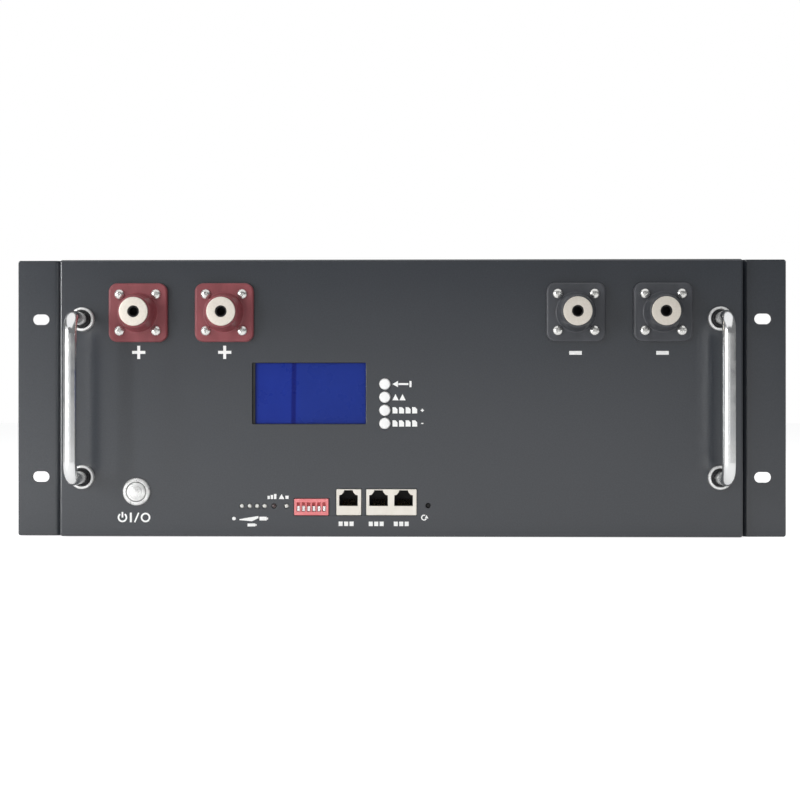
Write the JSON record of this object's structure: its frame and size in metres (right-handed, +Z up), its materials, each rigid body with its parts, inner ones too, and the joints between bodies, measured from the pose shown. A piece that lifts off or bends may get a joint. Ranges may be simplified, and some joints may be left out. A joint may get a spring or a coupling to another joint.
{
  "type": "server rack battery",
  "caption": "Rack-mount battery module: sheet-metal case with side ears, bow handles, stud terminals, a display, buttons and data sockets on its front.",
  "frame": {"origin": "under the middle of the battery, handles included, on the plane of its underside", "axes": "+X to the right seen from the front, +Z up, the front faces -Y"},
  "size_m": [0.4946, 0.4656, 0.1778],
  "materials": {
    "powder_coat": "fine satin powder coat, charcoal",
    "chrome": "bright chrome plate",
    "satin_nickel": "satin plated, slightly grainy",
    "polished_steel": "polished stainless steel",
    "red_plastic": "moulded, dark red, satin",
    "black_plastic": "moulded, black, satin",
    "white_plastic": "moulded, white",
    "blue_display": "glossy window over an unlit blue display",
    "dip_red": "moulded, red, satin gloss",
    "ivory_plastic": "moulded, ivory",
    "clear_plastic": "clear moulded light pipe",
    "circuit_board": "green solder mask",
    "bare_aluminium": "bare, satin",
    "cell_wrap": "blue film wrap"
  },
  "bodies": {
    "case": {"chassis_tray": "powder_coat", "top_cover": "powder_coat", "front_panel": "powder_coat", "rack_ear_left": "powder_coat", "rack_ear_right": "powder_coat", "handle_left": "chrome", "ferrule_left_lower": "chrome", "ferrule_left_upper": "chrome", "handle_right": "chrome", "ferrule_right_lower": "chrome", "ferrule_right_upper": "chrome", "terminal_housing_positive_1": "red_plastic", "terminal_housing_negative_1": "black_plastic", "terminal_post_positive_1": "satin_nickel", "terminal_post_negative_1": "satin_nickel", "terminal_housing_positive_2": "red_plastic", "terminal_housing_negative_2": "black_plastic", "terminal_post_positive_2": "satin_nickel", "terminal_post_negative_2": "satin_nickel", "lcd_window": "blue_display", "lcd_module": "circuit_board", "power_switch_body": "polished_steel", "power_switch_nut": "bare_aluminium", "led_light_pipe": "clear_plastic", "dip_switch_body": "dip_red", "data_socket_single": "ivory_plastic", "data_socket_double": "ivory_plastic", "interface_board": "circuit_board", "bms_board": "circuit_board", "bms_heat_sink": "bare_aluminium", "cell_01": "cell_wrap", "cell_02": "cell_wrap", "cell_03": "cell_wrap", "cell_04": "cell_wrap", "cell_05": "cell_wrap", "cell_06": "cell_wrap", "cell_07": "cell_wrap", "cell_08": "cell_wrap", "cell_09": "cell_wrap", "cell_10": "cell_wrap", "cell_11": "cell_wrap", "cell_12": "cell_wrap", "cell_13": "cell_wrap", "cell_14": "cell_wrap", "cell_15": "cell_wrap", "cell_16": "cell_wrap", "busbar_carrier_front": "black_plastic", "busbar_carrier_rear": "black_plastic"},
    "power_button": {"power_switch_button": "polished_steel"},
    "menu_button_1": {"menu_button_1": "white_plastic"},
    "menu_button_2": {"menu_button_2": "white_plastic"},
    "menu_button_3": {"menu_button_3": "white_plastic"},
    "menu_button_4": {"menu_button_4": "white_plastic"},
    "dip_lever_1": {"dip_lever_1": "white_plastic"},
    "dip_lever_2": {"dip_lever_2": "white_plastic"},
    "dip_lever_3": {"dip_lever_3": "white_plastic"},
    "dip_lever_4": {"dip_lever_4": "white_plastic"},
    "dip_lever_5": {"dip_lever_5": "white_plastic"},
    "dip_lever_6": {"dip_lever_6": "white_plastic"},
    "reset_button": {"reset_button": "black_plastic"}
  },
  "joints": [
    {"name": "power_button_press", "type": "slide", "parent": "case", "child": "power_button", "axis": [0, 1, 0], "range_m": [0, 0.0025], "stiffness_N_per_m": 1200, "springref_m": -0.0015},
    {"name": "menu_button_1_press", "type": "slide", "parent": "case", "child": "menu_button_1", "axis": [0, 1, 0], "range_m": [0, 0.0008], "stiffness_N_per_m": 1500, "springref_m": -0.0005},
    {"name": "menu_button_2_press", "type": "slide", "parent": "case", "child": "menu_button_2", "axis": [0, 1, 0], "range_m": [0, 0.0008], "stiffness_N_per_m": 1500, "springref_m": -0.0005},
    {"name": "menu_button_3_press", "type": "slide", "parent": "case", "child": "menu_button_3", "axis": [0, 1, 0], "range_m": [0, 0.0008], "stiffness_N_per_m": 1500, "springref_m": -0.0005},
    {"name": "menu_button_4_press", "type": "slide", "parent": "case", "child": "menu_button_4", "axis": [0, 1, 0], "range_m": [0, 0.0008], "stiffness_N_per_m": 1500, "springref_m": -0.0005},
    {"name": "reset_button_press", "type": "slide", "parent": "case", "child": "reset_button", "axis": [0, 1, 0], "range_m": [0, 0.0005], "stiffness_N_per_m": 1500, "springref_m": -0.0005},
    {"name": "dip_lever_1_slide", "type": "slide", "parent": "case", "child": "dip_lever_1", "axis": [0, 0, 1], "range_m": [0, 0.0021]},
    {"name": "dip_lever_2_slide", "type": "slide", "parent": "case", "child": "dip_lever_2", "axis": [0, 0, 1], "range_m": [0, 0.0021]},
    {"name": "dip_lever_3_slide", "type": "slide", "parent": "case", "child": "dip_lever_3", "axis": [0, 0, 1], "range_m": [0, 0.0021]},
    {"name": "dip_lever_4_slide", "type": "slide", "parent": "case", "child": "dip_lever_4", "axis": [0, 0, 1], "range_m": [0, 0.0021]},
    {"name": "dip_lever_5_slide", "type": "slide", "parent": "case", "child": "dip_lever_5", "axis": [0, 0, 1], "range_m": [0, 0.0021]},
    {"name": "dip_lever_6_slide", "type": "slide", "parent": "case", "child": "dip_lever_6", "axis": [0, 0, 1], "range_m": [0, 0.0021]}
  ]
}
